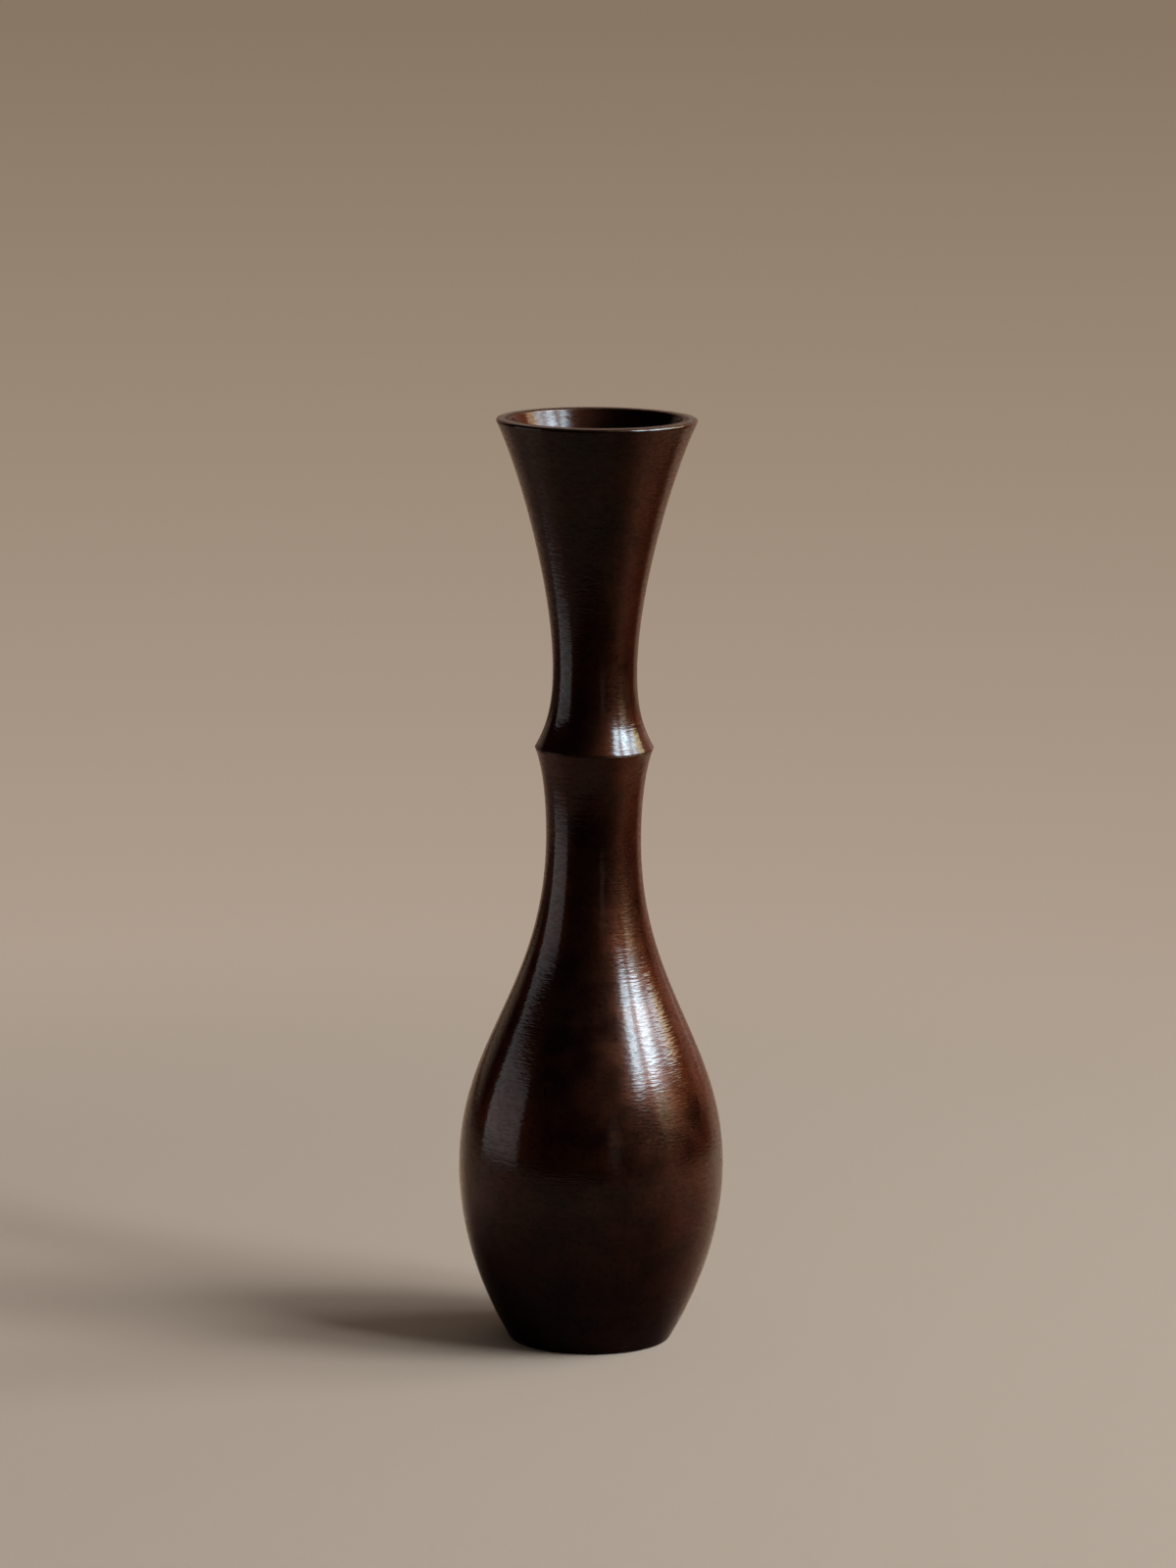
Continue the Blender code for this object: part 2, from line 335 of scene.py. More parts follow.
def base_braze_outline():
    """The brazing metal under the plate's edge, which set with a hollow face."""
    inner = PLATE_STEP_RADIUS + BASE_BRAZE_INNER_GAP
    outer = REBATE_RADIUS - BASE_BRAZE_OUTER_GAP
    shares = np.linspace(0, 1, BASE_BRAZE_STEPS + 1)
    face = [point(inner + (outer - inner) * share, BASE_BRAZE_HOLLOW * math.sin(math.pi * share))
            for share in shares]
    return joined(face, [point(outer, BASE_BRAZE_DEPTH), point(inner, BASE_BRAZE_DEPTH)])


# Turned pieces

def hand_wave(place):
    """How deep the polishing cut at a place: slow, irregular and slight."""
    return HAND_WAVE_DEPTH * (0.5 + 0.5 * noise.noise(place / HAND_WAVE))


def spun(outline, height, wavy):
    """The places and faces of one closed skin: an outline at this height, spun round the Z axis."""
    closed_on_axis = outline[0].x < MERGE
    rings = [place for place in outline if place.x > MERGE]
    places = []
    for place in rings:
        for side in range(SIDES):
            angle = math.tau * side / SIDES
            out = Vector((math.cos(angle), math.sin(angle), 0))
            spot = out * place.x + Vector((0, 0, place.y + height))
            places.append(spot - out * hand_wave(spot) if wavy else spot)
    faces = []
    pairs = list(zip(range(len(rings)), range(1, len(rings))))
    if not closed_on_axis:
        pairs.append((len(rings) - 1, 0))
    for low, high in pairs:
        for side in range(SIDES):
            after = (side + 1) % SIDES
            corners = ((low, side), (low, after), (high, after), (high, side))
            faces.append([ring * SIDES + turn for ring, turn in corners])
    if closed_on_axis:
        for ring, end in ((0, outline[0]), (len(rings) - 1, outline[-1])):
            places.append(Vector((0, 0, end.y + height)))
            for side in range(SIDES):
                pair = (ring * SIDES + side, ring * SIDES + (side + 1) % SIDES)
                faces.append((*(reversed(pair) if ring == 0 else pair), len(places) - 1))
    return places, faces


def new_object(name, places, faces, material):
    mesh = bpy.data.meshes.new(name)
    mesh.from_pydata(places, [], faces)
    mesh.materials.append(material)
    thing = bpy.data.objects.new(name, mesh)
    bpy.context.scene.collection.objects.link(thing)
    return thing


def turned(name, outline, height, material, node, wavy=True):
    """A turned piece, which stands for a solid of the frame."""
    places, faces = spun(outline, height, wavy)
    piece = new_object(name, places, faces, material)
    piece.data.shade_smooth()
    piece.data.set_sharp_from_angle(angle=SHARP_ANGLE)
    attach(piece, "root")
    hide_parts(node)


# Materials

class Nodes:
    """Adds and joins the shader nodes of one material or world."""

    def __init__(self, owner):
        owner.use_nodes = True
        self.tree = owner.node_tree

    def shader(self):
        return self.tree.nodes["Principled BSDF"]

    def add(self, kind, **settings):
        node = self.tree.nodes.new("ShaderNode" + kind)
        for name, value in settings.items():
            setattr(node, name, value)
        return node

    def put(self, value, socket):
        """Joins an output to an input, or sets the input to a plain value."""
        if isinstance(value, bpy.types.NodeSocket):
            self.tree.links.new(value, socket)
        else:
            socket.default_value = value

    def cover(self, shader):
        """Makes a shader the material's surface."""
        self.put(shader, self.tree.nodes["Material Output"].inputs["Surface"])

    def glow(self, colour, strength=1.0):
        node = self.add("Emission")
        self.put(colour, node.inputs["Color"])
        self.put(strength, node.inputs["Strength"])
        return node.outputs["Emission"]

    def place(self):
        """The place on the object, in metres."""
        return self.add("TexCoord").outputs["Object"]

    def split(self, vector):
        """The X, Y and Z of a vector."""
        node = self.add("SeparateXYZ")
        self.put(vector, node.inputs[0])
        return node.outputs

    def azimuth(self, place):
        """The azimuth of a place round the vase, in degrees: 0 towards the viewer and 90 to the right."""
        parts = self.split(place)
        return self.math("DEGREES", self.math("ARCTAN2", parts["X"], self.times(parts["Y"], -1.0)))

    def math(self, operation, *values):
        node = self.add("Math", operation=operation)
        for value, socket in zip(values, node.inputs):
            self.put(value, socket)
        return node.outputs[0]

    def times(self, first, second):
        return self.math("MULTIPLY", first, second)

    def smaller_of(self, first, second):
        return self.math("MINIMUM", first, second)

    def larger_of(self, first, second):
        return self.math("MAXIMUM", first, second)

    def scaled(self, vector, scale):
        node = self.add("Mapping")
        self.put(vector, node.inputs["Vector"])
        node.inputs["Scale"].default_value = scale
        return node.outputs[0]

    def noise(self, vector, scale=1.0, detail=1.0, roughness=0.5):
        node = self.add("TexNoise")
        self.put(vector, node.inputs["Vector"])
        node.inputs["Scale"].default_value = scale
        node.inputs["Detail"].default_value = detail
        node.inputs["Roughness"].default_value = roughness
        return node.outputs["Fac"]

    def ranged(self, value, low, high, new_low=0.0, new_high=1.0, smooth=False):
        """Carries a value from one range over to another, and holds it at the new range's ends."""
        node = self.add("MapRange", interpolation_type="SMOOTHSTEP" if smooth else "LINEAR")
        self.put(value, node.inputs["Value"])
        self.put(low, node.inputs["From Min"])
        self.put(high, node.inputs["From Max"])
        self.put(new_low, node.inputs["To Min"])
        self.put(new_high, node.inputs["To Max"])
        return node.outputs["Result"]

    def band(self, value, start, full, fading, end):
        """A share that rises from 0 to 1, stays there and falls back to 0 at these values."""
        return self.smaller_of(self.ranged(value, start, full), self.ranged(value, end, fading))

    def multiplied(self, first, second):
        """The product of two colours, or of a colour and a number."""
        node = self.add("VectorMath", operation="MULTIPLY")
        self.put(first, node.inputs[0])
        self.put(second, node.inputs[1])
        return node.outputs[0]

    def mix(self, share, first, second):
        node = self.add("Mix", data_type="RGBA")
        self.put(share, node.inputs["Factor"])
        self.put(first, node.inputs[6])
        self.put(second, node.inputs[7])
        return node.outputs[2]

    def ramp(self, value, stops):
        """The colour that belongs to a value, between stops given as (value, colour)."""
        low, high = stops[0][0], stops[-1][0]
        node = self.add("ValToRGB")
        self.put(self.ranged(value, low, high), node.inputs["Fac"])
        elements = node.color_ramp.elements
        while len(elements) < len(stops):
            elements.new(0.5)
        for element, (place, colour) in zip(elements, stops):
            element.position = (place - low) / (high - low)
            element.color = colour
        return node.outputs["Color"]

    def bump(self, height, depth, normal=None):
        node = self.add("Bump")
        self.put(height, node.inputs["Height"])
        node.inputs["Distance"].default_value = depth
        if normal:
            self.put(normal, node.inputs["Normal"])
        return node.outputs["Normal"]


def rgb(red, green, blue):
    return red, green, blue, 1.0


def dimmed(colour, share):
    """A colour at this share of its strength."""
    return rgb(*(share * part for part in colour[:3]))


WHITE = rgb(1.0, 1.0, 1.0)
BLACK = rgb(0.0, 0.0, 0.0)

# Patina: its dark, brown and red metal, their tint at the rims, the specks and the dust on it, and the
# metal that shows where it is worn. An edge is fully worn over the middle 60% of its height.
PATINA = rgb(0.009, 0.0027, 0.0015), rgb(0.017, 0.0050, 0.0026), rgb(0.028, 0.0066, 0.0029)
RIM_TINT = rgb(0.55, 0.28, 0.17)
SPECK = rgb(0.002, 0.001, 0.001)
DUST = rgb(0.55, 0.50, 0.42)
WORN_METAL = rgb(0.038, 0.019, 0.010)
WORN_METALLIC = (0.88, 0.92)
FULLY_WORN = 0.6

# Its patterns: how many features they have in a metre, along each axis where that differs, and how deep the
# relief of some is. The tool's lines are a little deeper on the neck.
CLOUDS = 30
MOTTLE = 120
BANDS = (14, 14, 300)
SPECKS = 750
RUBBING = 260
TOOL_LINES = (440, 440, 1500)
FINE_RINGS = (60, 60, 2800)
POLISHING = (160, 160, 420)
BODY_LINE_DEPTH = 0.043 * MM
NECK_LINE_DEPTH = 0.048 * MM
FINE_RING_DEPTH = 0.020 * MM
POLISHING_DEPTH = 0.006 * MM

# Dust grains: cells in a metre, how much of a cell a grain fills, and the share of cells left clean
DUST_CELLS = 170
GRAIN_SIZE = 0.030
CLEAN_CELLS = 0.93

# Wax over the patina: its gloss, how much of it is left where it is worn, in the specks and in the tool's
# lines, and how much less there is inside
WAX_ROUGHNESS = 0.11
WAX_IOR = 1.3
WAX_WHERE_WORN = 0.75
WAX_IN_SPECKS = 0.75
WAX_IN_LINES = 0.68
WAX_LOST_INSIDE = 0.45


def worn_share(n, place, edges):
    """How far the patina is worn down: unevenly, and only between the edges' (lowest, highest) heights."""
    height = n.split(place)["Z"]
    worn = 0.0
    for low, high in edges:
        middle, reach = (low + high) / 2, (high - low) / 2
        off = n.math("ABSOLUTE", n.math("SUBTRACT", height, middle))
        worn = n.math("ADD", worn, n.ranged(off, reach, FULLY_WORN * reach))
    rub = n.ranged(n.noise(place, RUBBING, detail=4, roughness=0.65), 0.40, 0.62, 0.6, 1.0)
    return n.smaller_of(n.times(worn, rub), 1.0)


def dust_share(n, place):
    """Scattered grains: in a few cells of a pattern, right at their middle."""
    cells = n.add("TexVoronoi")
    n.put(place, cells.inputs["Vector"])
    cells.inputs["Scale"].default_value = DUST_CELLS
    grain = n.math("LESS_THAN", cells.outputs["Distance"], GRAIN_SIZE)
    dusty = n.math("GREATER_THAN", n.split(cells.outputs["Color"])["X"], CLEAN_CELLS)
    return n.times(grain, dusty)


def facing_axis(n, place):
    """1 on the surfaces that face the vase's axis, and 0 on the others."""
    facing = n.add("VectorMath", operation="DOT_PRODUCT")
    n.put(n.add("NewGeometry").outputs["Normal"], facing.inputs[0])
    n.put(n.scaled(place, (1, 1, 0)), facing.inputs[1])
    return n.math("LESS_THAN", facing.outputs["Value"], 0.0)


def patina(name, edges, tone, roughness, line_depth):
    """Dark red-brown patina of a tone and roughness under wax, with the tool's lines this deep in it. It is
    a little dusty, and worn down to brown metal at the edges, given as (lowest, highest) heights."""
    material = bpy.data.materials.new(name)
    n = Nodes(material)
    shader = n.shader()
    place = n.place()
    mottle = n.noise(place, MOTTLE, detail=5, roughness=0.6)
    specks = n.ranged(n.noise(place, SPECKS, detail=2, roughness=0.6), 0.54, 0.70, 0, 0.5)
    lines = n.noise(n.scaled(place, TOOL_LINES))
    worn = worn_share(n, place, edges)

    dark, brown, red = (dimmed(colour, tone) for colour in PATINA)
    cloud = n.noise(place, CLOUDS, detail=3, roughness=0.55)
    bands = n.noise(n.scaled(place, BANDS), detail=3, roughness=0.6)
    base = n.mix(n.ranged(mottle, 0.38, 0.62), dark, brown)
    base = n.mix(n.ranged(cloud, 0.40, 0.70, 0, 0.8), base, red)
    base = n.mix(n.ranged(bands, 0.45, 0.75, 0, 0.45), base, dark)
    base = n.mix(specks, base, SPECK)
    base = n.mix(worn, base, WORN_METAL)
    base = n.mix(dust_share(n, place), base, DUST)
    n.put(base, shader.inputs["Base Color"])
    n.put(n.ranged(mottle, 0.3, 0.7, roughness - 0.05, roughness + 0.05), shader.inputs["Roughness"])
    n.put(n.ranged(worn, 0, 1, *WORN_METALLIC), shader.inputs["Metallic"])
    shader.inputs["Specular IOR Level"].default_value = 0.0
    shader.inputs["Specular Tint"].default_value = RIM_TINT

    lost = n.times(facing_axis(n, place), WAX_LOST_INSIDE)
    wax = n.math("SUBTRACT", n.ranged(worn, 0, 1, 1.0, WAX_WHERE_WORN), lost)
    wax = n.times(wax, n.ranged(specks, 0, 1, 1.0, WAX_IN_SPECKS))
    wax = n.times(wax, n.ranged(lines, 0.34, 0.62, WAX_IN_LINES, 1.0))
    n.put(wax, shader.inputs["Coat Weight"])
    shader.inputs["Coat Roughness"].default_value = WAX_ROUGHNESS
    shader.inputs["Coat IOR"].default_value = WAX_IOR

    normal = n.bump(lines, line_depth)
    normal = n.bump(n.noise(n.scaled(place, POLISHING)), POLISHING_DEPTH, normal)
    normal = n.bump(n.noise(n.scaled(place, FINE_RINGS)), FINE_RING_DEPTH, normal)
    n.put(normal, shader.inputs["Normal"])
    n.put(normal, shader.inputs["Coat Normal"])
    return material


# Base plate and brazing metal: colours, patterns in a metre, and the depth of their relief
FACED_METAL = rgb(0.075, 0.036, 0.018), rgb(0.14, 0.072, 0.036)
FACED_MOTTLE = 160
FACED_DEPTH = 0.02 * MM
BASE_BRAZE = rgb(0.50, 0.34, 0.15)
NECK_BRAZE = rgb(0.58, 0.40, 0.17)
BRAZE_DULL = 0.45
BRAZE_STAINS = 120
BRAZE_PITS = 900
BRAZE_PIT_DEPTH = 0.03 * MM


def faced_bronze():
    """The base plate: brown bronze faced on the lathe."""
    material = bpy.data.materials.new("plate_bronze")
    n = Nodes(material)
    shader = n.shader()
    mottle = n.noise(n.place(), FACED_MOTTLE, detail=4, roughness=0.6)
    n.put(n.mix(mottle, *FACED_METAL), shader.inputs["Base Color"])
    n.put(n.ranged(mottle, 0.3, 0.7, 0.38, 0.52), shader.inputs["Roughness"])
    shader.inputs["Metallic"].default_value = 0.9
    n.put(n.bump(mottle, FACED_DEPTH), shader.inputs["Normal"])
    return material


def brazing_metal(name, colour):
    """Yellow brazing metal, slightly pitted and dulled."""
    material = bpy.data.materials.new(name)
    n = Nodes(material)
    shader = n.shader()
    place = n.place()
    pits = n.noise(place, BRAZE_PITS, detail=3, roughness=0.6)
    stain = n.noise(place, BRAZE_STAINS, detail=3, roughness=0.6)
    base = n.mix(n.ranged(stain, 0.35, 0.65), dimmed(colour, BRAZE_DULL), colour)
    n.put(base, shader.inputs["Base Color"])
    n.put(n.ranged(stain, 0.3, 0.7, 0.3, 0.5), shader.inputs["Roughness"])
    shader.inputs["Metallic"].default_value = 1.0
    n.put(n.bump(pits, BRAZE_PIT_DEPTH), shader.inputs["Normal"])
    return material


# The vase, and the heights between which its edges are worn

TOP = BODY_HEIGHT + NECK_HEIGHT
FOOT_WEAR = (-0.3 * MM, 0.5 * MM)
COLLAR_WEAR = (BODY_HEIGHT - 0.2 * MM, BODY_HEIGHT)
RING_WEAR = (BODY_HEIGHT - 0.1 * MM, BODY_HEIGHT + 0.25 * MM)
LIP_WEAR = (TOP - 0.4 * MM, TOP + 0.3 * MM)

body_edges = (FOOT_WEAR, COLLAR_WEAR)
neck_edges = (RING_WEAR, LIP_WEAR)
body_patina = patina("body_patina", body_edges, tone=1.4, roughness=0.40, line_depth=BODY_LINE_DEPTH)
neck_patina = patina("neck_patina", neck_edges, tone=0.88, roughness=0.45, line_depth=NECK_LINE_DEPTH)
turned("body_casting", body_outline(), 0, body_patina, "body_shell")
turned("neck_casting", neck_outline(), BODY_HEIGHT, neck_patina, "neck_shell")
turned("foot_plate", plate_outline(), PLATE_RECESS, faced_bronze(), "base_plate",
       wavy=False)
base_braze = brazing_metal("base_braze", BASE_BRAZE)
turned("foot_brazing", base_braze_outline(), PLATE_RECESS, base_braze, "base_braze_ring",
       wavy=False)
hidden_ring = frame["nodes"]["neck_braze_ring"]
hidden_ring.data.materials.clear()
hidden_ring.data.materials.append(brazing_metal("neck_braze", NECK_BRAZE))


# Stage: a pale beige floor that runs far back, cards of painted reflection that only the gloss sees, and
# the light

def around(azimuth, distance, height=0.0):
    """The place at an azimuth round the vase, where 0 is towards the viewer and 90 to the right."""
    angle = math.radians(azimuth)
    return Vector((distance * math.sin(angle), -distance * math.cos(angle), height))


# Floor: its plain colour, and the dimmer one that it casts back on the vase
FLOOR_RADIUS = 14.0
FLOOR_SIDES = 96
FLOOR = rgb(0.44, 0.37, 0.305)
FLOOR_BOUNCE = rgb(0.26, 0.22, 0.18)
FLOOR_ROUGHNESS = 0.95
FLOOR_GLOSS = 0.1

# Backdrop: a glow in its colours, which takes over from the floor and its shadow between these distances
# and darkens towards the horizon as painted falloff of the light. Its stops are shares of the way to the
# horizon, which is half done at BACKDROP_HALF_WAY.
SHADOW_REACH = (0.22, 0.60)
BACKDROP_HALF_WAY = 2.0
BACKDROP_FAR = rgb(0.25, 0.185, 0.13)
BACKDROP = ((0.0, rgb(0.44, 0.365, 0.30)), (0.2, rgb(0.43, 0.345, 0.275)),
            (0.474, rgb(0.345, 0.265, 0.20)), (0.76, BACKDROP_FAR))

# Painted light and shade that the floor has in the vase's gloss alone, by azimuth near the vase and far
# from it: painted reflections of a dark room in front and of warm window light on the right, and a painted
# shadow right round its foot, darker on the dark side than on the lit side. A ramp holds no colour above 1,
# so its colours are divided by GLOSS_TINT and multiplied by it afterwards.
GLOSS_TINT = 3.0
FOOT_PAINTED_SHADOW = rgb(0.07, 0.07, 0.07), rgb(0.30, 0.28, 0.25)
NEAR_PAINTED_TINTS = ((-180, (0.8, 0.75, 0.7)), (-150, (1.3, 1.2, 1.05)), (-120, (1.0, 0.9, 0.8)),
              (-98, (1.5, 1.4, 1.4)), (-70, (0.85, 0.80, 0.78)), (0, (0.60, 0.60, 0.58)),
              (30, (0.42, 0.38, 0.31)), (50, (0.60, 0.42, 0.31)), (62, (1.2, 0.74, 0.52)),
              (75, (2.2, 1.25, 0.88)), (88, (2.2, 1.25, 0.85)), (102, (2.3, 1.25, 0.82)),
              (118, (2.3, 1.7, 1.2)), (128, (2.1, 1.8, 1.4)), (141, (1.6, 1.45, 1.3)),
              (155, (1.05, 0.95, 0.88)), (180, (0.8, 0.75, 0.7)))
FAR_PAINTED_TINTS = ((-180, (0.9, 0.8, 0.7)), (-150, (1.1, 0.97, 0.85)), (-120, (0.8, 0.7, 0.65)),
             (-98, (0.9, 0.9, 0.95)), (-70, (0.66, 0.66, 0.66)), (0, (0.60, 0.60, 0.58)),
             (30, (0.42, 0.38, 0.31)), (50, (0.85, 0.50, 0.36)), (62, (1.9, 1.0, 0.68)),
             (75, (2.8, 1.45, 1.0)), (88, (2.6, 1.10, 0.70)), (102, (1.9, 0.70, 0.38)),
             (114, (1.15, 0.45, 0.24)), (121, (1.0, 0.45, 0.26)), (127, (1.2, 0.6, 0.4)),
             (134, (2.1, 1.5, 1.2)), (143, (2.2, 1.7, 1.45)), (155, (1.35, 1.1, 0.97)),
             (180, (0.9, 0.8, 0.7)))
LIT_SIDE = (60, 105, 140, 178)
FOOT_TINT_START = 0.03
FOOT_TINT_ENDS = (0.15, 0.22)
NEAR_TO_FAR = (0.30, 0.48)
FAR_DIM_REACH = (0.7, 1.5)
FAR_DIM = 0.8


def painted_floor_gloss_tint(n, place, away):
    """Painted light and shade of the floor in the gloss, over GLOSS_TINT: dark in front, lit on the right.
    """
    azimuth = n.azimuth(place)
    near, far = (n.ramp(azimuth, [(at, dimmed(colour, 1 / GLOSS_TINT)) for at, colour in tints])
                 for tints in (NEAR_PAINTED_TINTS, FAR_PAINTED_TINTS))
    far = n.multiplied(far, n.ranged(away, *FAR_DIM_REACH, FAR_DIM, 1.0))
    lit_side = n.band(azimuth, *LIT_SIDE)
    foot_end = n.ranged(lit_side, 0, 1, *FOOT_TINT_ENDS)
    tint = n.mix(n.ranged(away, *NEAR_TO_FAR), near, far)
    return n.mix(n.ranged(away, FOOT_TINT_START, foot_end), n.mix(lit_side, *FOOT_PAINTED_SHADOW), tint)


def floor_material():
    """Matt and plain round the vase, where it takes the shadow. Further out a glow with painted light that
    dims far off.
    """
    material = bpy.data.materials.new("floor")
    n = Nodes(material)
    shader = n.shader()
    rays = n.add("LightPath").outputs
    place = n.place()
    distance = n.add("VectorMath", operation="LENGTH")
    n.put(place, distance.inputs[0])
    away = distance.outputs["Value"]

    plain_tint = dimmed(WHITE, 1 / GLOSS_TINT)
    # Glossy rays see the floor with painted light and shade
    tint = n.mix(rays["Is Glossy Ray"], plain_tint, painted_floor_gloss_tint(n, place, away))
    tint = n.multiplied(tint, (GLOSS_TINT, GLOSS_TINT, GLOSS_TINT))

    colour = n.mix(rays["Is Diffuse Ray"], FLOOR, FLOOR_BOUNCE)
    n.put(n.multiplied(colour, tint), shader.inputs["Base Color"])
    shader.inputs["Roughness"].default_value = FLOOR_ROUGHNESS
    shader.inputs["Specular IOR Level"].default_value = FLOOR_GLOSS

    # Painted light: the backdrop glows, dimmer further away
    to_horizon = n.math("DIVIDE", away, n.math("ADD", away, BACKDROP_HALF_WAY))
    backdrop = n.glow(n.multiplied(n.ramp(to_horizon, BACKDROP), tint))
    seen = n.larger_of(rays["Is Camera Ray"], rays["Is Glossy Ray"])
    seen = n.larger_of(seen, rays["Is Transmission Ray"])
    blend = n.add("MixShader")
    n.put(n.times(n.ranged(away, *SHADOW_REACH, smooth=True), seen), blend.inputs["Fac"])
    n.put(shader.outputs["BSDF"], blend.inputs[1])
    n.put(backdrop, blend.inputs[2])
    n.cover(blend.outputs["Shader"])
    return material


def glowing(name, colour, strength, levels=()):
    """A plain glow, or one whose share of the strength follows its levels, given as (height, share)."""
    material = bpy.data.materials.new(name)
    n = Nodes(material)
    n.tree.nodes.remove(n.shader())
    if levels:
        height = n.split(n.place())["Z"]
        share = n.ramp(height, [(level, dimmed(WHITE, part)) for level, part in levels])
        strength = n.times(share, strength)
    n.cover(n.glow(colour, strength))
    return material


def stage_mesh(name, places, faces, material):
    thing = new_object(name, places, faces, material)
    return thing


def reflected_card(name, places, faces, material):
    """A card that only the vase's gloss sees."""
    card = stage_mesh(name, places, faces, material)
    card.visible_camera = False
    card.visible_diffuse = False
    card.visible_shadow = False
    card.visible_transmission = False


def upright_card(name, azimuths, away, top, material):
    """A flat card that stands on the floor between two azimuths."""
    start, end = azimuths
    corners = [around(start, away), around(end, away), around(end, away, top), around(start, away, top)]
    reflected_card(name, corners, [(0, 1, 2, 3)], material)


def flag(name, corners, material):
    """A card that lies just above the floor, so that the gloss shows the floor end there."""
    reflected_card(name, [Vector((x, y, FLAG_HEIGHT)) for x, y in corners], [(0, 1, 2, 3)], material)


def oblong(low_x, high_x, low_y, high_y):
    return (low_x, low_y), (high_x, low_y), (high_x, high_y), (low_x, high_y)


floor_rim = [around(360 * i / FLOOR_SIDES, FLOOR_RADIUS) for i in range(FLOOR_SIDES)]
stage_mesh("floor", floor_rim, [tuple(range(FLOOR_SIDES))], floor_material())

# Flags: where the floor ends in the gloss, and how far they reach from there. They are painted reflections:
# black for the shade of a dark room, dim for shaded floor, and warm for a glint of sunlit floor.
FRONT_EDGE = -0.36
RIGHT_EDGE = 0.70
LEFT_EDGE = -0.62
BACK_EDGE = 0.2
FLAG_END = 6.0
FLAG_HEIGHT = MM
FAR_RIGHT_CORNERS = (0.55, BACK_EDGE), (1.5, BACK_EDGE), (1.5, 1.15), (0.55, 0.42)

# Painted shade, a painted dim floor and a painted warm glint, seen only in the gloss
painted_shade_glow = glowing("black_card", BLACK, 0)
painted_dim_floor_glow = glowing("dim_card", rgb(1.0, 0.78, 0.6), 0.08)
painted_glint_glow = glowing("warm_card", rgb(0.34, 0.085, 0.05), 1.0)
flag("front_flag", oblong(-FLAG_END, FLAG_END, -FLAG_END, FRONT_EDGE), painted_shade_glow)
flag("right_flag", oblong(RIGHT_EDGE, FLAG_END, FRONT_EDGE, BACK_EDGE), painted_shade_glow)
flag("far_right_flag", FAR_RIGHT_CORNERS, painted_glint_glow)
flag("left_flag", oblong(-FLAG_END, LEFT_EDGE, FRONT_EDGE, FLAG_END), painted_dim_floor_glow)

# Pale card on the left, a painted reflection that only the gloss sees, whose glow changes with the height
LEFT_CARD_AZIMUTHS = (-66, -107)
LEFT_CARD_AWAY = 0.52
LEFT_CARD_TOP = 0.27
LEFT_CARD_LEVELS = ((0.0, 0.45), (0.05, 0.9), (0.10, 1.0), (LEFT_CARD_TOP, 0.75))

left_painted_glow = glowing("left_card", rgb(0.76, 0.82, 0.86), 1.75, LEFT_CARD_LEVELS)
upright_card("left_card", LEFT_CARD_AZIMUTHS, LEFT_CARD_AWAY, LEFT_CARD_TOP, left_painted_glow)

# Light of the window: its distance, how many degrees up its lower and upper ends are, and its three parts
# with the azimuths of their sides and their radiance
LIGHT_AWAY = 2.4
LIGHT_RISE = (24, 52)
WINDOW_LIGHTS = (
    ("window_left", 50, 61, 13),
    ("window_middle", 65, 88, 13.5),
    ("window_right", 94, 115, 5.5),
)


def window_light(name, start, end, radiance):
    """The soft light of one part of the window: an upright area light, as bright as a surface of this
    radiance. Its highlight is painted: the gloss shows the window's card in its place."""
    low, high = (LIGHT_AWAY * math.tan(math.radians(rise)) for rise in LIGHT_RISE)
    middle = (start + end) / 2
    width = 2 * LIGHT_AWAY * math.tan(math.radians(end - start) / 2)
    light = bpy.data.lights.new(name, "AREA")
    light.shape = "RECTANGLE"
    light.size = width
    light.size_y = high - low
    light.energy = radiance * math.pi * width * (high - low)
    lamp = bpy.data.objects.new(name, light)
    lamp.location = around(middle, LIGHT_AWAY, (low + high) / 2)
    lamp.rotation_euler = (math.radians(90), 0, math.radians(middle))
    lamp.visible_camera = False
    lamp.visible_glossy = False
    bpy.context.scene.collection.objects.link(lamp)


for window_part in WINDOW_LIGHTS:
    window_light(*window_part)

# Window's card, a painted highlight that only the gloss sees: its panes and frames, as shares of its
# gleam by azimuth
WINDOW_AWAY = 1.15
WINDOW_TOP = 1.6
WINDOW_STEPS = 49
WINDOW_GLEAM = 66
DAYLIGHT = rgb(0.68, 0.92, 1.05)
SUNLIT = rgb(0.90, 0.80, 0.47)
WINDOW_STRIPS = ((36, 0.0), (42, 0.03), (46, 0.09), (49, 0.50), (53, 0.66), (57, 0.80), (59, 0.38),
                 (61.5, 0.23), (64.5, 0.23), (67, 0.90), (75, 1.02), (80, 0.70), (83, 0.46), (89, 0.27),
                 (92, 0.44), (98, 0.42), (104, 0.26), (110, 0.19), (119, 0.13))

# The card fades out downwards, between heights that differ at the left and the right of these azimuths.
# Its leftmost pane ends higher.
FADE_TURN = (86, 104)
FADE_BOTTOM = (0.45, 0.38)
FADE_TOP = (0.66, 0.47)
LEFT_PANE = (66, 58)
LEFT_PANE_LIFT = 0.04
FADED_GLEAM = 0.005

# A faint painted gleam below the middle panes, and the blind that dims them at the top, by azimuth and
# height
SILL_AZIMUTHS = (63, 69, 76, 92)
SILL_HEIGHTS = (0.02, 0.42)
SILL_GLEAM = 0.11
SILL_POWER = 2.4
BLIND_AZIMUTHS = (61, 65, 90, 94)
BLIND_HEIGHTS = (0.94, 1.04)
BLIND_DIMMING = 0.70

# Painted yellow sunlight in the highlight: low on the whole card, and higher up on its right
SUN_HEIGHTS = (0.54, 0.36)
RIGHT_SUN_AZIMUTHS = (96, 106)
RIGHT_SUN_HEIGHTS = (0.95, 0.65)
RIGHT_SUN_SHARES = (0.4, 1.0)


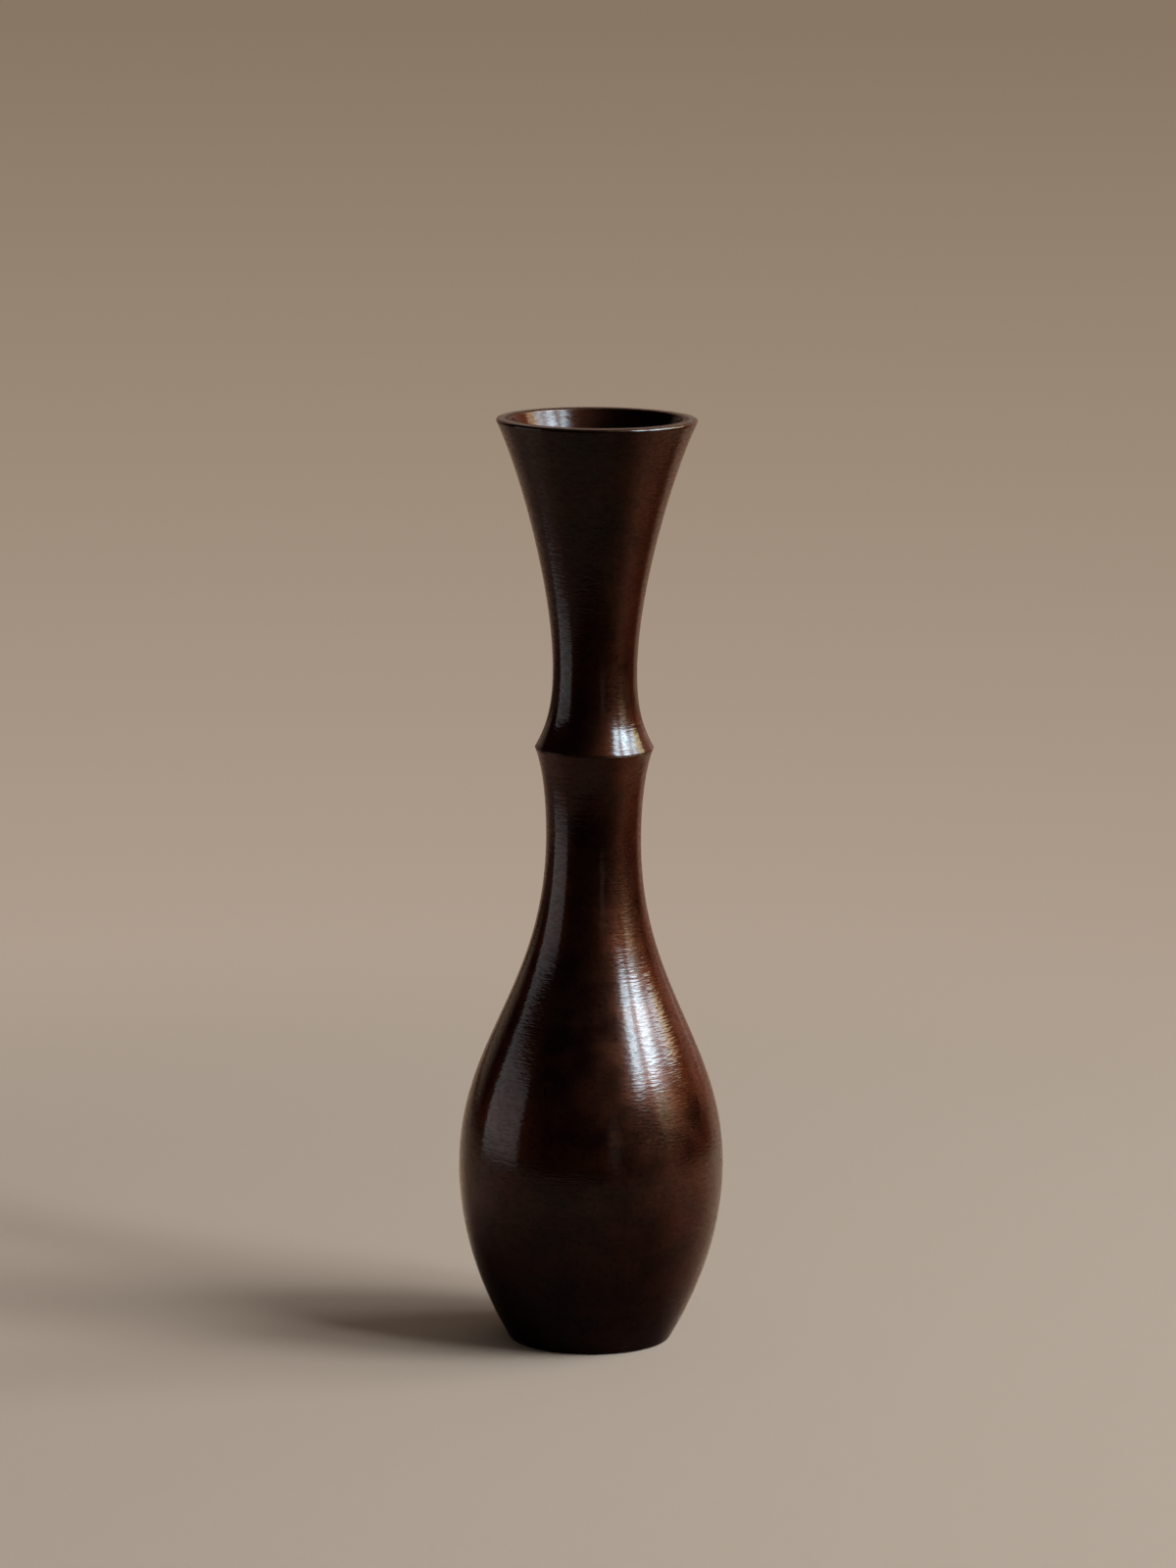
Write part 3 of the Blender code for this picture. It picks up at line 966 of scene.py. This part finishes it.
def painted_highlight_material():
    """Painted highlight: strips between the window's frames, which fade downwards and turn yellow."""
    material = bpy.data.materials.new("painted_window_highlight")
    n = Nodes(material)
    n.tree.nodes.remove(n.shader())
    place = n.place()
    azimuth = n.azimuth(place)
    height = n.split(place)["Z"]
    share = n.ramp(azimuth, [(at, dimmed(WHITE, level)) for at, level in WINDOW_STRIPS])

    bottom = n.ranged(azimuth, *FADE_TURN, *FADE_BOTTOM)
    top = n.ranged(azimuth, *FADE_TURN, *FADE_TOP)
    lift = n.ranged(azimuth, *LEFT_PANE, 0.0, LEFT_PANE_LIFT)
    fade = n.ranged(n.math("SUBTRACT", height, lift), bottom, top, smooth=True)
    share = n.times(share, n.larger_of(fade, FADED_GLEAM))

    sill = n.times(n.math("POWER", n.ranged(height, *SILL_HEIGHTS), SILL_POWER), SILL_GLEAM)
    share = n.larger_of(share, n.times(sill, n.band(azimuth, *SILL_AZIMUTHS)))
    blind = n.ranged(height, *BLIND_HEIGHTS, 0.0, BLIND_DIMMING)
    blind = n.times(blind, n.band(azimuth, *BLIND_AZIMUTHS))
    share = n.times(share, n.math("SUBTRACT", 1.0, blind))

    right_sun = n.times(n.ranged(azimuth, *RIGHT_SUN_AZIMUTHS),
                        n.ranged(height, *RIGHT_SUN_HEIGHTS, *RIGHT_SUN_SHARES))
    sunlit = n.larger_of(right_sun, n.ranged(height, *SUN_HEIGHTS))
    n.cover(n.glow(n.mix(sunlit, DAYLIGHT, SUNLIT), n.times(share, WINDOW_GLEAM)))
    return material


def painted_window_highlight():
    """What the gloss sees of the window: a glowing card bent round the vase, a painted highlight brighter
    than the lamps.
    """
    azimuths = np.linspace(WINDOW_STRIPS[0][0], WINDOW_STRIPS[-1][0], WINDOW_STEPS + 1)
    places = [around(azimuth, WINDOW_AWAY, height) for height in (0.0, WINDOW_TOP) for azimuth in azimuths]
    above = len(azimuths)
    faces = [(i, i + 1, i + 1 + above, i + above) for i in range(WINDOW_STEPS)]
    reflected_card("painted_window_highlight", places, faces, painted_highlight_material())


painted_window_highlight()

# Doorway in front, beside the viewer: a glowing card that only the gloss sees, a painted reflection
DOORWAY_AZIMUTHS = (16, 25)
DOORWAY_AWAY = 1.15
DOORWAY_TOP = 0.42

doorway_painted_glow = glowing("doorway", rgb(1.0, 0.85, 0.7), 0.4)
upright_card("doorway", DOORWAY_AZIMUTHS, DOORWAY_AWAY, DOORWAY_TOP, doorway_painted_glow)

# World: a dim room in front, the ceiling's soft light on what is matt, and the backdrop's colours by the
# direction's X
ROOM = rgb(0.010, 0.008, 0.008)
CEILING = rgb(0.34, 0.30, 0.27)
CEILING_RISE = (0.45, 1.0)
WORLD_BACKDROP = (
    (-0.50, rgb(0.36, 0.27, 0.19)),
    (-0.10, rgb(0.36, 0.28, 0.22)),
    (0.24, rgb(0.50, 0.37, 0.29)),
    (0.34, rgb(0.74, 0.52, 0.42)),
    (0.46, rgb(0.92, 0.60, 0.47)),
    (0.56, rgb(1.0, 0.64, 0.49)),
)

# By the direction's Y, the backdrop starts at these values, the first of them on the left of these X and
# the second on the right, and is there in full a blur further back
BACKDROP_TURN = (-0.2, 0.2)
BACKDROP_STARTS = (0.55, 0.30)
BACKDROP_BLUR = 0.22

# Its sunlit part on the right: its colours low down, higher up and at its dim far edge, the heights between
# which the first turns into the second, and the direction's X where it starts and where the edge does
SUNNY_LOW = rgb(0.8, 0.26, 0.14)
SUNNY_HIGH = rgb(1.0, 0.50, 0.33)
SUNNY_EDGE = rgb(0.35, 0.15, 0.09)
SUNNY_HEIGHTS = (0.0, 0.14)
SUNNY_START = (0.58, 0.65)
SUNNY_EDGE_START = (0.78, 0.86)


def world():
    """Dim room in front and a beige backdrop behind. The camera sees the backdrop's colour all round."""
    room_world = bpy.data.worlds.new("room")
    bpy.context.scene.world = room_world
    n = Nodes(room_world)
    rays = n.add("LightPath").outputs
    way = n.split(n.add("TexCoord").outputs["Generated"])
    sunny = n.mix(n.ranged(way["Z"], *SUNNY_HEIGHTS), SUNNY_LOW, SUNNY_HIGH)
    sunny = n.mix(n.ranged(way["X"], *SUNNY_EDGE_START), sunny, SUNNY_EDGE)
    backdrop = n.mix(n.ranged(way["X"], *SUNNY_START), n.ramp(way["X"], WORLD_BACKDROP), sunny)

    start = n.ranged(way["X"], *BACKDROP_TURN, *BACKDROP_STARTS)
    behind = n.ranged(way["Y"], start, n.math("ADD", start, BACKDROP_BLUR), smooth=True)
    gloss = n.mix(behind, ROOM, backdrop)
    ceiling = n.mix(n.ranged(way["Z"], *CEILING_RISE), BLACK, CEILING)
    colour = n.mix(rays["Is Diffuse Ray"], gloss, ceiling)
    colour = n.mix(rays["Is Camera Ray"], colour, BACKDROP_FAR)
    background = n.tree.nodes["Background"]
    n.put(colour, background.inputs["Color"])
    background.inputs["Strength"].default_value = 1.0


world()

# Camera, as the photograph was taken
CAMERA_PLACE = Vector((-0.0016, -1.7008, 0.4495))
CAMERA_DOWN = math.radians(9.934)
CAMERA_ROLL = math.radians(0.465)
CAMERA_LENS = 148.27
CAMERA_SENSOR = 36

camera_data = bpy.data.cameras.new("camera")
camera_data.lens = CAMERA_LENS
camera_data.sensor_width = CAMERA_SENSOR
camera = bpy.data.objects.new("camera", camera_data)
tilt = Matrix.Rotation(math.pi / 2 - CAMERA_DOWN, 4, "X") @ Matrix.Rotation(CAMERA_ROLL, 4, "Z")
camera.matrix_world = Matrix.Translation(CAMERA_PLACE) @ tilt
bpy.context.scene.collection.objects.link(camera)
bpy.context.scene.camera = camera

bpy.context.scene.view_settings.view_transform = "Standard"
